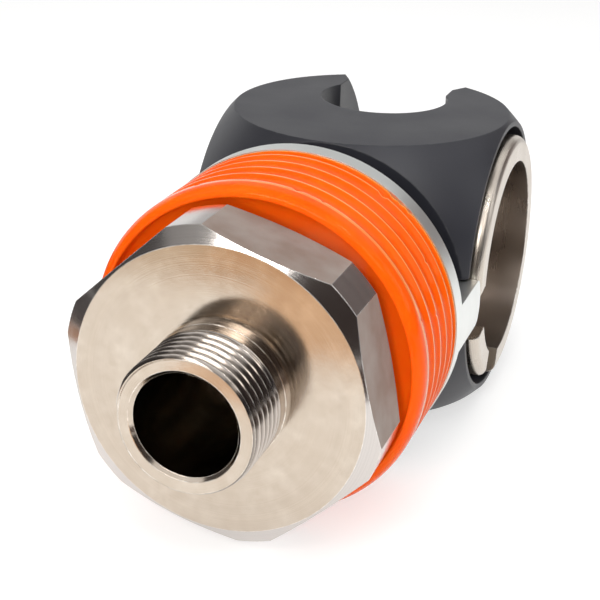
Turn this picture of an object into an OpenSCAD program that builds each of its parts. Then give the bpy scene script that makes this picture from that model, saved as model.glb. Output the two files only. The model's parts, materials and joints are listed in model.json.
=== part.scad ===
// Tank swing coupler: a hex inlet adapter, a ball-shaped housing with a swinging
// cross barrel, and a ribbed lock sleeve whose two lugs enter slots in the barrel ends.
// Millimetres. Origin: centre of the hex's front face, at the foot of the inlet stub.
// +Y runs from the inlet to the ball, +X along the barrel, +Z up.

/* [Inlet adapter] */
// Major diameter of the inlet stub's thread
stub_d = 27; // [24:0.5:28]
// Length of the stub in front of the hex face
stub_len = 14.2; // [12:0.1:18]
// Chamfer on the outer edge of the stub
stub_chamfer = 0.6; // [0.3:0.05:1]
// Diameter of the flow passage
flow_d = 20; // [16:0.5:20]
// Chamfer at the mouth of the flow passage
mouth_chamfer = 0.7; // [0.2:0.1:1]
// Difference between the diameter over the turned corners and the width across the flats
corner_step = 5.3; // [5:0.1:6]
// Clearance between those corners and the open front of the grip ring
hex_gap = 0.3; // [0.25:0.05:0.5]
// Difference between the width across the flats and the turned front face
face_step = 1.1; // [1:0.1:3]
// Length of the hex along the inlet axis
hex_len = 15.2; // [13:0.1:15.3]
// Angle of the chamfer on the hex corners, from the face
hex_chamfer_angle = 30; // [20:1:40]
// Turn of the hex about the inlet axis
hex_turn = 12.8; // [0:0.1:60]
// Height of the neck over the shoulder behind the hex
shoulder_step = 0.5; // [0.5:0.1:1.5]
// Diameter of the spigot that screws into the neck
spigot_d = 32; // [30:0.5:34]
// Length of the spigot behind the gasket
spigot_len = 18.5; // [16:0.5:19]

/* [Grip ring] */
// Height of the flange over the rib crests
grip_step = 0.25; // [0.1:0.05:0.5]
// Place of the front edge behind the hex face
grip_front = 16.65; // [16.65:0.05:17.2]
// Length of the grip ring
grip_len = 24.5; // [23:0.1:24.9]
// Wall between the sleeve and the ribs
grip_wall = 3.35; // [3:0.05:4]
// Wall around the open front, which slides over the hex
cup_wall = 2.25; // [2.1:0.05:2.4]
// Depth of the open front
cup_depth = 3.1; // [2.8:0.1:3.4]
// Length of the rounded front bezel
bezel_len = 3.4; // [2:0.1:3.6]
// Distance from the front edge to the first rib crest
first_rib = 3.95; // [3.9:0.05:4.1]
// Distance between rib crests
rib_pitch = 4.42; // [4:0.02:4.5]
// Number of rib crests
rib_count = 5; // [3:1:5]
// Depth of the hollows between the crests
rib_depth = 0.75; // [0.3:0.05:1]
// Thickness of the inward lip behind the open front
lip_t = 1.6; // [1.2:0.1:1.8]
// Gap between that lip and the neck
lip_gap = 0.4; // [0.3:0.05:0.8]

/* [Lock sleeve] */
// Diameter of the flange, which sets the sizes of the grip ring, the hex, the ball and the barrel
flange_d = 68.9; // [68:0.1:70]
// Thickness of the flange
flange_t = 5.05; // [4:0.05:5.2]
// Width of each lug
lug_w = 10.4; // [8:0.1:10.6]
// Length of each lug behind the flange
lug_len = 15.1; // [14.4:0.05:15.4]
// Gap between the lug's tip and the barrel's rim
lug_rest = 0.5; // [0.3:0.05:0.8]
// Thickness of each lug
lug_t = 4.2; // [3:0.1:4.4]
// Radius of the lug's corners at its tip
lug_corner = 1.4; // [0.5:0.1:2]
// Travel of the sleeve from the barrel's rim to the bottom of its slots
lock_travel = 4.5; // [3.5:0.1:5]
// Distance from the rear of the flange to the step that the spring pushes on
guide_len = 7.35; // [7.35:0.05:8]
// Wall around the pocket that holds the return spring
pocket_wall = 1.05; // [0.9:0.05:1.6]
// Wire diameter of the return spring
spring_wire = 1.6; // [1.2:0.1:1.6]
// Number of turns of the return spring
spring_turns = 3; // [3:0.5:3.5]
// Thickness of the snap ring that the spring stands on
snap_t = 1.6; // [1.2:0.1:1.8]
// Depth of the snap ring's groove in the neck
snap_groove = 0.75; // [0.5:0.05:1]

/* [Housing] */
// Width of the ball's own surface beside the round recess at each side
rim_land = 0.77; // [0.5:0.01:1.2]
// Distance that the barrel stands out of the ball's side flats
end_stand = 2.1; // [1.8:0.05:2.4]
// Distance from the barrel to the ball's top and bottom flats
top_wall = 3.65; // [3:0.05:4.2]
// Distance from the barrel to the ball's flat front face
front_wall = 3.6; // [3.4:0.05:3.8]
// Diameter of the neck that carries the sleeve
neck_d = 48; // [46:0.5:49]
// Difference between the round entry hole in the top and the plug's socket
entry_gap = 4.6; // [4:0.1:5.4]
// Distance from the swing axis to the centre of the entry hole
entry_y = 10.2; // [9:0.05:11]
// Difference between the width of the throat and the plug's socket
throat_gap = 1.2; // [0.8:0.1:1.8]
// Difference between the throat and its flared mouth
mouth_flare = 5; // [4:0.1:5.6]
// Depth under the ball's surface where the flare starts
flare_depth = 5.3; // [5:0.1:6]
// Depth under the ball's surface where the flare reaches its full width
mouth_depth = 2.5; // [1.8:0.1:3]
// Gap between the barrel and the wall of the round recess at each side
recess_gap = 1.9; // [1.7:0.05:2.1]
// Depth of that recess
recess_depth = 6.5; // [6.2:0.1:7]

/* [Barrel] */
// Distance of the barrel's end faces inside the lugs' outer faces
barrel_step = 0.3; // [0:0.05:0.5]
// Wall around the bore in each end
end_wall = 5.7; // [5:0.1:6]
// Depth of the bore in each end
end_bore_depth = 10; // [8:0.5:11]
// Rounding of the barrel's outer edges
edge_round = 2; // [0.5:0.1:2]
// Swing from rest to where the first slot meets the lug
first_slot_angle = 10.5; // [6:0.5:12]
// Angle between the two slots in each end face
slot_pitch = 60; // [58:0.5:64]
// Depth of the slots, from the end face
slot_depth = 4.75; // [4.6:0.05:6]
// Difference between the tank plug's socket and the flow passage
socket_step = 5; // [4.6:0.1:5]
// Distance from the swing axis to the socket's floor
socket_floor = 12; // [10:0.5:13]
// Difference between the plug's socket and the wider place for its seal and cage
seal_step = 1.4; // [1:0.1:1.8]

/* [Small pieces] */
// Thickness of the gasket under the adapter's shoulder
gasket_t = 0.8; // [0.5:0.1:1.5]
// Cord diameter of the neck and spigot seal rings
cord_d = 2; // [1.6:0.1:2.4]
// Length of the seat ring's carrier
carrier_len = 9; // [7:0.5:9]
// Length of the pair of disc springs
spring_len = 2.7; // [2:0.1:3]
// Thickness of one disc spring
spring_t = 0.9; // [0.6:0.1:1]
// Wall of the barrel bushes
bush_wall = 1.15; // [1:0.05:1.6]
// Distance from the stop dowel to the bushes
bush_gap = 3.1; // [2.8:0.1:3.6]
// Thickness of the thrust washers
washer_t = 0.7; // [0.5:0.1:0.8]
// Thickness of the retaining clips
clip_t = 1.2; // [1:0.1:1.4]
// Depth of the clip grooves
clip_groove = 1.3; // [1:0.1:1.5]
// Diameter of the swing stop dowel
dowel_d = 3; // [2.5:0.1:3]
// Distance from the throat's side to the dowel's axis
dowel_gap = 1.3; // [1.1:0.1:1.5]
// Depth of the stop groove in the barrel
stop_groove = 2.6; // [2:0.1:3]
// Width of the guide band in the sleeve
band_w = 2.5; // [2:0.1:2.6]
// Thickness of the guide band
band_t = 1; // [0.8:0.1:1.4]
// Thickness of the plug seal
seal_t = 2.6; // [2:0.1:3]
// Thickness of the cage ring over the plug seal
cage_t = 1.6; // [1:0.1:2]

/* [Hidden] */
// Clearances
slide_fit = 0.05;
turn_fit = 0.05;
seat_gap = 0.05;
slot_gap = 0.2;
free_gap = 0.3;
axial_gap = 0.1;
press_fit = 0.02;
band_land = 0.6;
seal_land = 0.8;
seal_shift = 4;
end_seal_shift = 1;

// Sizes across the sleeve and the adapter
grip_d = flange_d - 2 * grip_step;
cup_d = grip_d - 2 * cup_wall;
hex_od = cup_d - 2 * hex_gap;
hex_af = hex_od - corner_step;
hex_face_d = hex_af - face_step;
shoulder_d = neck_d - 2 * shoulder_step;
lip_d = neck_d + 2 * lip_gap;
pocket_d = grip_d - 2 * (grip_wall + pocket_wall);
lug_inner = flange_d / 2 - lug_t;
collar_d = (neck_d + 2 * lug_inner) / 2;

// Sizes of the barrel, its socket and the ball around it
ball_h = hex_od;
barrel_d = ball_h - 2 * top_wall;
barrel_r = barrel_d / 2;
barrel_len = flange_d - 2 * barrel_step;
end_bore_d = barrel_d - 2 * end_wall;
recess_d = barrel_d + 2 * recess_gap;
ball_w = barrel_len - 2 * end_stand;
ball_front = barrel_r + front_wall;
ball_d = 2 * (norm([ball_w / 2, recess_d / 2]) + rim_land);
socket_d = flow_d + socket_step;
seal_bore_d = socket_d + seal_step;
entry_d = socket_d + entry_gap;
throat_w = socket_d + throat_gap;
mouth_w = throat_w + mouth_flare;
flare_start = ball_d / 2 - flare_depth;
flare_end = ball_d / 2 - mouth_depth;
dowel_x = throat_w / 2 + dowel_gap;
bush_start = dowel_x + bush_gap;

// Places along the inlet axis
grip_rear = grip_front + grip_len;
flange_rear = grip_rear + flange_t;
ball_y = flange_rear + lug_len + lug_rest + barrel_r;
neck_front = 23.5;
shoulder_rear = neck_front - gasket_t;
spigot_rear = neck_front + spigot_len;
spring_start = spigot_rear + axial_gap;
carrier_start = spring_start + spring_len + axial_gap;
seat_start = carrier_start + carrier_len + axial_gap;
front_face = ball_y - ball_front;
cup_floor = grip_front + cup_depth;
sleeve_front = cup_floor + lip_t;
guide_front = flange_rear - guide_len;
collar_front = flange_rear + lock_travel + free_gap;
snap_front = sleeve_front + lock_travel + free_gap;
spring_front = snap_front + snap_t + seat_gap;
band_y = guide_front + band_land;
sleeve_seal = band_y + band_w + cord_d / 2 + seal_land;
spigot_seal = (neck_front + spigot_rear) / 2 + seal_shift;
carrier_seal = carrier_start + carrier_len / 2;

// Radii
neck_bore_r = spigot_d / 2 + seat_gap;
sleeve_r = grip_d / 2 - grip_wall;
sleeve_bore_r = neck_d / 2 + slide_fit;
spring_r = (neck_d + pocket_d) / 4;
swing_angle = first_slot_angle + slot_pitch;
slot_w = lug_w + 2 * slot_gap;
bush_bore_r = barrel_r + turn_fit;
cross_bore_r = bush_bore_r + bush_wall;

// Places along the barrel
half_barrel = barrel_len / 2;
recess_floor = ball_w / 2 - recess_depth;
bush_end = recess_floor - axial_gap;
washer_start = recess_floor + axial_gap / 2;
clip_start = washer_start + washer_t + axial_gap;
end_seal_x = (bush_start + bush_end) / 2 - end_seal_shift;

// Places in the ball's throat
throat_start = cross_bore_r - 4;
cone_start = sqrt(pow(flare_start, 2) - pow(throat_w / 2, 2));
mouth_start = flare_end - 1.6;

// Steps, margins and gaps of the ring-shaped pieces
groove_half = cord_d * 0.65;
gasket_step = 0.4;
washer_step = 0.2;
clip_step = 0.5;
clip_opening = 6;
snap_opening = 3;
flange_chamfer = 0.4;
nose_flat = 0.2;
crest_gap = 0.02;
bezel_h = grip_d / 2 - cup_d / 2 - nose_flat;
dowel_half_angle = asin((dowel_d / 2) / (barrel_r - stop_groove));
dowel_spare = 3;

// The spring's wire
spring_space = guide_front - spring_front - seat_gap;
closed_pitch = 1.04;
wire_sides = 8;
turn_steps = 24;

// Facets, the reach of long cutters, and how far the others pass a face
smooth = 128;
fine = 32;
far = 200;
over = 1;

// A cylinder along +Y from y0 to y1
module along_y(r, y0, y1, r2 = -1) {
  translate([0, y0, 0]) rotate([-90, 0, 0])
    cylinder(h = y1 - y0, r1 = r, r2 = r2 < 0 ? r : r2, $fn = smooth);
}

// A ring along +Y
module ring_y(ro, ri, y0, y1) {
  difference() {
    along_y(ro, y0, y1);
    along_y(ri, y0 - over, y1 + over);
  }
}

// A profile of [radius, y] points turned about the inlet axis
module turned_y(points) {
  rotate([-90, 0, 0]) rotate_extrude($fn = smooth) polygon(points);
}

// A cylinder along +X on the swing axis
module along_x(r, x0, x1) {
  translate([x0, ball_y, 0]) rotate([0, 90, 0]) cylinder(h = x1 - x0, r = r, $fn = smooth);
}

// A ring along +X on the swing axis
module ring_x(ro, ri, x0, x1) {
  difference() {
    along_x(ro, x0, x1);
    along_x(ri, x0 - over, x1 + over);
  }
}

// A profile of [radius, x] points turned about the swing axis
module turned_x(points) {
  translate([0, ball_y, 0]) rotate([0, 90, 0]) rotate_extrude($fn = smooth) polygon(points);
}

// A seal ring of round section around the inlet axis
module o_ring_y(r, y, cord) {
  translate([0, y, 0]) rotate([-90, 0, 0]) rotate_extrude($fn = 96)
    translate([r, 0]) circle(d = cord, $fn = fine);
}

// A seal ring of round section around the swing axis
module o_ring_x(r, x, cord) {
  translate([x, ball_y, 0]) rotate([0, 90, 0]) rotate_extrude($fn = 96)
    translate([r, 0]) circle(d = cord, $fn = fine);
}

// What follows is drawn along +Z and laid along the barrel's socket
module along_socket() {
  translate([0, ball_y, 0]) rotate([swing_angle - 90, 0, 0]) children();
}

// The throat's ring-shaped space about the swing axis, narrow inside and flared outside
module throat_ring(inner_r) {
  turned_x([[inner_r, -throat_w / 2], [flare_start, -throat_w / 2], [flare_end, -mouth_w / 2],
    [far, -mouth_w / 2], [far, mouth_w / 2], [flare_end, mouth_w / 2],
    [flare_start, throat_w / 2], [inner_r, throat_w / 2]]);
}

// The way that the tank plug's neck swings through, from the entry hole down to the rear
module throat() {
  intersection() {
    throat_ring(cross_bore_r - over);
    translate([-far / 2, ball_y + entry_y, 0]) cube([far, far, far]);
  }
  translate([0, ball_y + throat_start, 0]) rotate([-90, 0, 0])
    cylinder(h = far / 2, d = throat_w, $fn = smooth);
  translate([0, ball_y + cone_start, 0]) rotate([-90, 0, 0])
    cylinder(h = flare_end - flare_start, d1 = throat_w, d2 = mouth_w, $fn = smooth);
  translate([0, ball_y + mouth_start, 0]) rotate([-90, 0, 0])
    cylinder(h = far / 2, d = mouth_w, $fn = smooth);
}

module ball_blank() {
  intersection() {
    translate([0, ball_y, 0]) rotate([-90, 0, 0]) sphere(d = ball_d, $fn = smooth);
    translate([-ball_w / 2, front_face, -ball_h / 2]) cube([ball_w, far, ball_h]);
  }
}

module ball_housing() {
  color([0.2, 0.2, 0.21]) difference() {
    union() {
      ball_blank();
      along_y(neck_d / 2, neck_front, front_face + 5 * over);
      along_y(collar_d / 2, collar_front, front_face + 5 * over);
    }
    along_y(neck_bore_r, neck_front - over, ball_y);
    along_x(cross_bore_r, -far / 2, far / 2);
    for (s = [-1, 1]) {
      along_x(recess_d / 2, s > 0 ? recess_floor : -far / 2, s > 0 ? far / 2 : -recess_floor);
      lug_window(s);
    }
    translate([0, ball_y + entry_y, 0]) cylinder(h = far, d = entry_d, $fn = smooth);
    throat();
    ring_y(far / 4, neck_d / 2 - snap_groove, snap_front - seat_gap, snap_front + snap_t + seat_gap);
    translate([-dowel_x, ball_y, -far]) cylinder(h = far, d = dowel_d, $fn = fine);
  }
}

// The opening through which a lug reaches the recess
module lug_window(s) {
  w = lug_w + 2 * free_gap;
  x0 = lug_inner - free_gap;
  translate([s > 0 ? x0 : -far, front_face - over, -w / 2]) cube([far - x0, ball_front, w]);
}

module inlet_adapter() {
  corner_r = hex_od / 2;
  face_r = hex_face_d / 2;
  rise = (corner_r - face_r) * tan(hex_chamfer_angle);
  color([0.62, 0.6, 0.57]) difference() {
    union() {
      along_y(stub_d / 2, stub_chamfer - stub_len, over);
      along_y(stub_d / 2 - stub_chamfer, -stub_len, stub_chamfer - stub_len, stub_d / 2);
      intersection() {
        rotate([0, -hex_turn - 30, 0]) rotate([-90, 0, 0])
          cylinder(h = hex_len, d = hex_af / cos(30), $fn = 6);
        turned_y([[0, 0], [face_r, 0], [corner_r, rise], [corner_r, hex_len - rise],
          [face_r, hex_len], [0, hex_len]]);
      }
      along_y(shoulder_d / 2, hex_len - over, shoulder_rear);
      along_y(spigot_d / 2, shoulder_rear - over, spigot_rear);
    }
    along_y(flow_d / 2, -stub_len - over, spigot_rear + over);
    along_y(flow_d / 2 + mouth_chamfer + over, -stub_len - over, mouth_chamfer - stub_len, flow_d / 2);
    ring_y(far / 4, spigot_d / 2 - cord_d, spigot_seal - groove_half, spigot_seal + groove_half);
  }
}

// Height of the spring's wire after a number of turns, with closed ends
function wire_y(turn) = let (end = spring_wire * closed_pitch, rise = spring_space - spring_wire - 2 * end)
  turn < 1 ? end * turn
  : turn > spring_turns - 1 ? rise + end * (2 + turn - spring_turns)
  : end + rise * (turn - 1) / (spring_turns - 2);

// The spring that pushes the sleeve towards the barrel, between the snap ring and the sleeve's step
module sleeve_spring() {
  last = spring_turns * turn_steps;
  points = [for (i = [0 : last], j = [0 : wire_sides - 1])
    let (a = 360 * i / turn_steps, b = 360 * j / wire_sides, r = spring_r + spring_wire / 2 * cos(b))
    [r * cos(a), spring_front + spring_wire / 2 * (1 + sin(b)) + wire_y(i / turn_steps), r * sin(a)]];
  sides = [for (i = [0 : last - 1], j = [0 : wire_sides - 1])
    let (p = i * wire_sides + j, q = i * wire_sides + (j + 1) % wire_sides)
    each [[p, q, q + wire_sides], [p, q + wire_sides, p + wire_sides]]];
  start_cap = [for (j = [wire_sides - 1 : -1 : 0]) j];
  end_cap = [for (j = [0 : wire_sides - 1]) last * wire_sides + j];
  color([0.6, 0.6, 0.62]) polyhedron(points, concat(sides, [start_cap, end_cap]));
}

// The split ring in the neck's groove that the spring stands on
module spring_stop() {
  color([0.3, 0.3, 0.32]) difference() {
    ring_y(spring_r + spring_wire / 2, neck_d / 2 - snap_groove + seat_gap, snap_front, snap_front + snap_t);
    translate([-snap_opening / 2, snap_front - over, 0]) cube([snap_opening, snap_t + 2 * over, far]);
  }
}

module adapter_gasket() {
  color([0.85, 0.85, 0.82])
    ring_y(shoulder_d / 2 - gasket_step, spigot_d / 2 + free_gap, shoulder_rear, neck_front);
}

module adapter_o_ring() {
  color([0.1, 0.1, 0.1]) o_ring_y(neck_bore_r - cord_d / 2 - press_fit, spigot_seal, cord_d);
}

// Two disc springs set edge to edge
module seat_springs() {
  ri = flow_d / 2 + over;
  ro = neck_bore_r - gasket_step;
  half = spring_len / 2;
  color([0.55, 0.56, 0.58]) {
    turned_y([[ri, spring_start], [ri, spring_start + spring_t], [ro, spring_start + half],
      [ro, spring_start + half - spring_t]]);
    turned_y([[ri, spring_start + spring_len - spring_t], [ri, spring_start + spring_len],
      [ro, spring_start + half + spring_t], [ro, spring_start + half]]);
  }
}

module seat_carrier() {
  color([0.7, 0.7, 0.7]) difference() {
    ring_y(neck_bore_r - seat_gap, flow_d / 2, carrier_start, carrier_start + carrier_len);
    ring_y(far / 4, neck_bore_r - cord_d - seat_gap, carrier_seal - groove_half, carrier_seal + groove_half);
  }
}

module seat_o_ring() {
  color([0.1, 0.1, 0.1]) o_ring_y(neck_bore_r - cord_d / 2 - press_fit, carrier_seal, cord_d);
}

// The seal against the barrel, hollowed to the barrel's own curve
module seat_ring() {
  color([0.93, 0.93, 0.9]) difference() {
    ring_y(neck_bore_r - seat_gap, flow_d / 2, seat_start, ball_y - barrel_r + neck_bore_r / 2);
    along_x(barrel_r + turn_fit, -far / 4, far / 4);
  }
}

module bush(s) {
  color([0.75, 0.6, 0.35])
    ring_x(cross_bore_r - press_fit, bush_bore_r, s > 0 ? bush_start : -bush_end,
      s > 0 ? bush_end : -bush_start);
}
module bush_left() { bush(-1); }
module bush_right() { bush(1); }

module thrust_washer(s) {
  x = s > 0 ? washer_start : -washer_start - washer_t;
  color([0.85, 0.85, 0.8]) ring_x(recess_d / 2 - washer_step, barrel_r + axial_gap, x, x + washer_t);
}
module thrust_washer_left() { thrust_washer(-1); }
module thrust_washer_right() { thrust_washer(1); }

module guide_band() {
  color([0.6, 0.45, 0.3])
    ring_y(sleeve_bore_r + band_t, sleeve_bore_r - slide_fit / 2, band_y, band_y + band_w);
}

module sleeve_o_ring() {
  color([0.1, 0.1, 0.1]) o_ring_y(sleeve_bore_r - slide_fit / 2 + cord_d / 2, sleeve_seal, cord_d);
}

// The dowel that stops the barrel at each end of its swing
module stop_dowel() {
  tip = -(barrel_r - stop_groove + free_gap);
  color([0.7, 0.7, 0.72]) translate([-dowel_x, ball_y, -ball_h / 2 + over])
    cylinder(h = tip + ball_h / 2 - over, d = dowel_d, $fn = fine);
}

// One lug, with its tip's corners rounded
module lug(s) {
  tip = flange_rear + lug_len;
  intersection() {
    along_y(flange_d / 2, grip_rear, tip + over);
    translate([s > 0 ? lug_inner : -far, 0, 0]) rotate([0, 90, 0]) linear_extrude(far - lug_inner)
      union() {
        translate([-lug_w / 2, grip_rear + over])
          square([lug_w, tip - lug_corner - grip_rear - over]);
        translate([lug_corner - lug_w / 2, grip_rear + over])
          square([lug_w - 2 * lug_corner, tip - grip_rear - over]);
        for (k = [-1, 1]) translate([k * (lug_w / 2 - lug_corner), tip - lug_corner])
          circle(r = lug_corner, $fn = fine);
      }
  }
}

module lock_sleeve() {
  color([0.75, 0.77, 0.75]) union() {
    difference() {
      union() {
        along_y(sleeve_r, sleeve_front, grip_rear + over);
        turned_y([[0, grip_rear], [flange_d / 2, grip_rear], [flange_d / 2, flange_rear - flange_chamfer],
          [flange_d / 2 - flange_chamfer, flange_rear], [0, flange_rear]]);
      }
      along_y(sleeve_bore_r, sleeve_front - over, flange_rear + over);
      along_y(pocket_d / 2, sleeve_front - over, guide_front);
      along_y(sleeve_bore_r + band_t + seat_gap, band_y - axial_gap, band_y + band_w + axial_gap);
      along_y(sleeve_bore_r + cord_d, sleeve_seal - groove_half, sleeve_seal + groove_half);
    }
    lug(1);
    lug(-1);
  }
}

// The outline of the rounded bezel, as a quarter of an ellipse
bezel_points = [for (i = [0 : 8]) let (a = i * 90 / 8)
  [grip_d / 2 - bezel_h + bezel_h * sin(a), grip_front + bezel_len * (1 - cos(a))]];

// The hollows between the rib crests, each a shallow arc
rib_points = [for (k = [0 : rib_count - 2], i = [0 : 6]) let (t = i / 6)
  [grip_d / 2 - rib_depth * sin(180 * t),
    grip_front + first_rib + rib_pitch * (k + crest_gap + t * (1 - 2 * crest_gap))]];

module grip_ring() {
  last = grip_front + first_rib + rib_pitch * (rib_count - 1);
  end_hollow = [for (i = [0 : 5]) let (t = i / 6)
    [grip_d / 2 - rib_depth * sin(180 * t), last + (grip_rear - last) * (t + 2 * crest_gap)]];
  color([1, 0.42, 0.05]) turned_y(concat(
    [[lip_d / 2, sleeve_front - seat_gap], [lip_d / 2, cup_floor], [cup_d / 2, cup_floor],
     [cup_d / 2, grip_front + nose_flat]],
    bezel_points, rib_points, end_hollow,
    [[grip_d / 2 - free_gap, grip_rear - press_fit], [sleeve_r + seat_gap, grip_rear - press_fit],
     [sleeve_r + seat_gap, sleeve_front - seat_gap]]));
}

// The arc-shaped groove that the dowel runs in
module stop_slot() {
  half_w = dowel_d / 2 + slot_gap;
  first = -dowel_half_angle - dowel_spare;
  sweep = swing_angle + 2 * (dowel_half_angle + dowel_spare);
  translate([-dowel_x, ball_y, 0]) rotate([0, 90, 0]) intersection() {
    difference() {
      cylinder(h = 2 * half_w, r = far / 4, center = true, $fn = smooth);
      cylinder(h = 4 * half_w, r = barrel_r - stop_groove, center = true, $fn = smooth);
    }
    linear_extrude(4 * half_w, center = true) polygon([[0, 0],
      for (i = [0 : 6]) let (a = first + i * sweep / 6) [far / 3 * cos(a), far / 3 * sin(a)]]);
  }
}

// Both slots in one end face, which a lug enters from the front
module end_slots(s) {
  x0 = s > 0 ? half_barrel - slot_depth : -far;
  for (turn = [first_slot_angle, swing_angle]) translate([x0, ball_y, 0]) rotate([turn, 0, 0])
    translate([0, -far, -slot_w / 2]) cube([far + slot_depth - half_barrel, far, slot_w]);
}

module barrel() {
  e = edge_round;
  groove_x = clip_start - axial_gap / 2;
  bore_floor = half_barrel - end_bore_depth;
  seal_floor = barrel_r - cord_d;
  edge = [for (i = [0 : 6]) let (a = i * 90 / 6)
    [barrel_r - e + e * cos(a), half_barrel - e + e * sin(a)]];
  color([0.55, 0.53, 0.5]) difference() {
    turned_x(concat([[0, -half_barrel]], [for (i = [6 : -1 : 0]) [edge[i][0], -edge[i][1]]],
      edge, [[0, half_barrel]]));
    for (s = [-1, 1]) {
      along_x(end_bore_d / 2, s > 0 ? bore_floor : -far, s > 0 ? far : -bore_floor);
      end_slots(s);
      ring_x(far / 4, barrel_r - clip_groove, s > 0 ? groove_x : -groove_x - clip_t - axial_gap,
        s > 0 ? groove_x + clip_t + axial_gap : -groove_x);
      ring_x(far / 4, seal_floor, s * end_seal_x - groove_half, s * end_seal_x + groove_half);
    }
    along_socket() {
      cylinder(h = far, d = flow_d, center = true, $fn = smooth);
      translate([0, 0, socket_floor]) cylinder(h = far, d = socket_d, $fn = smooth);
      translate([0, 0, socket_floor]) cylinder(h = seal_t + cage_t, d = seal_bore_d, $fn = smooth);
    }
    stop_slot();
  }
}

// A retaining clip with a gap, which turns with the barrel
module clip(s) {
  x = s > 0 ? clip_start : -clip_start - clip_t;
  color([0.3, 0.3, 0.32]) difference() {
    ring_x(recess_d / 2 - clip_step, barrel_r - clip_groove + press_fit, x, x + clip_t);
    translate([x - over, ball_y - clip_opening / 2, 0])
      cube([clip_t + 2 * over, clip_opening, far]);
  }
}
module clip_left() { clip(-1); }
module clip_right() { clip(1); }

module barrel_o_ring(s) {
  color([0.1, 0.1, 0.1]) o_ring_x(barrel_r + turn_fit / 2 - cord_d / 2, s * end_seal_x, cord_d);
}
module barrel_o_ring_left() { barrel_o_ring(-1); }
module barrel_o_ring_right() { barrel_o_ring(1); }

module plug_seal() {
  color([0.12, 0.12, 0.12]) along_socket() translate([0, 0, socket_floor]) difference() {
    cylinder(h = seal_t, d = seal_bore_d - 2 * press_fit, $fn = smooth);
    translate([0, 0, -over]) cylinder(h = seal_t + 2 * over, r = flow_d / 2 + gasket_step, $fn = smooth);
  }
}

module seal_cage() {
  color([0.65, 0.65, 0.66]) along_socket() translate([0, 0, socket_floor + seal_t]) difference() {
    cylinder(h = cage_t - axial_gap, d = seal_bore_d - 2 * press_fit, $fn = smooth);
    translate([0, 0, -over])
      cylinder(h = cage_t + 2 * over, r = flow_d / 2 + 2 * gasket_step, $fn = smooth);
  }
}

ball_housing();
inlet_adapter();
adapter_gasket();
adapter_o_ring();
seat_springs();
seat_carrier();
seat_o_ring();
seat_ring();
bush_left();
bush_right();
thrust_washer_left();
thrust_washer_right();
stop_dowel();
spring_stop();
sleeve_spring();
lock_sleeve();
grip_ring();
guide_band();
sleeve_o_ring();
barrel();
clip_left();
clip_right();
barrel_o_ring_left();
barrel_o_ring_right();
plug_seal();
seal_cage();
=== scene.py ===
"""Looks of the tank swing coupler: materials, thread, spring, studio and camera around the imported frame."""
import json
import math

import bmesh
import bpy
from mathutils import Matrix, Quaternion, Vector


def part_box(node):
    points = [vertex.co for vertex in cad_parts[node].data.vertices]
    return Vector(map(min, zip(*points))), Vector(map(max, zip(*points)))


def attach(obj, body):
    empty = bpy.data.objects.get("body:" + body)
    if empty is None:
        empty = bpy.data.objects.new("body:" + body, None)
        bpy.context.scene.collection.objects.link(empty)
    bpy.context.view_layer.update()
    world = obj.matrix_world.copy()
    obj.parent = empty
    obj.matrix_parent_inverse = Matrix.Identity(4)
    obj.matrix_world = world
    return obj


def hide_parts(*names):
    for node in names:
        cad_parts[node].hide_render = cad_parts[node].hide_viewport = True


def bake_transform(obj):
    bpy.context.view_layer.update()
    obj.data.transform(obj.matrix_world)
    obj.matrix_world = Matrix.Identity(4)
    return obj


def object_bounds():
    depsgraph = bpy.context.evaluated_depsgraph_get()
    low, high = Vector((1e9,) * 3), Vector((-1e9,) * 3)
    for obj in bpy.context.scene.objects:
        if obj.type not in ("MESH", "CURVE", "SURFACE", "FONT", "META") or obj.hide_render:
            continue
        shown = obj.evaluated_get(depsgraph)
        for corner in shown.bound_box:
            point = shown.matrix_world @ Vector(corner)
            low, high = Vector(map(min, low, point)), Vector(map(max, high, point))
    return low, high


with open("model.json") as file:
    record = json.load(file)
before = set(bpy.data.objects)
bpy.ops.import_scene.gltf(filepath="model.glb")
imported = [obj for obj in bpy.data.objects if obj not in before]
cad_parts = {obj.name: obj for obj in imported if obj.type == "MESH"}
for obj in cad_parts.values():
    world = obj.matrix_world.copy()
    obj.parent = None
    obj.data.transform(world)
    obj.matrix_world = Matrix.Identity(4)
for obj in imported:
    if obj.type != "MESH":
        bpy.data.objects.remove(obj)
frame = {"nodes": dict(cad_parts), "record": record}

cad_box = [list(corner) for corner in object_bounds()]

# Driving places and sizes, in metres, from the frame and the record; a hair is a length too small to matter
MM = 0.001
HAIR = 0.01 * MM
NODES = frame["nodes"]
MOUNTS = {mount["name"]: mount for mount in frame["record"]["mounts"]}
STUB_RADIUS = MOUNTS["inlet_thread"]["dims"]["r_mm"] * MM
STUB_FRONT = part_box("inlet_adapter")[0][1]
SWING_AXIS_Y = (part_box("barrel")[0][1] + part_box("barrel")[1][1]) / 2
INLET_AXIS = ((0, 1, 0), (0, 0, 0))
SWING_AXIS = ((1, 0, 0), (0, SWING_AXIS_Y, 0))
FLOOR_Z = cad_box[0][2]

# The camera, fitted to the photograph; angles in degrees, lens and sensor in millimetres
CAMERA_PLACE = (0.08865, -0.20567, 0.11261)
CAMERA_AZIMUTH = 19.53
CAMERA_ELEVATION = 22.78
CAMERA_ROLL = 1.46
CAMERA_LENS = 82.64
SENSOR_WIDTH = 36

# The stub's thread; the sharpness is the power that its rounded profile is raised to, and the slack is how
# far off the stub's outside a face may lie and still be taken for its wall
THREAD_PITCH = 2.0 * MM
THREAD_DEPTH = 0.95 * MM
THREAD_FRONT_CHAMFER = 0.6 * MM
THREAD_RUNOUT = 0.8 * MM
COLLAR_LENGTH = 2.6 * MM
CREST_SHARPNESS = 0.8
THREAD_COLUMNS = 180
THREAD_ROW = 0.1 * MM
STUB_SLACK = 0.05 * MM
ADAPTER_SMOOTH_ANGLE = 28

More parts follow.
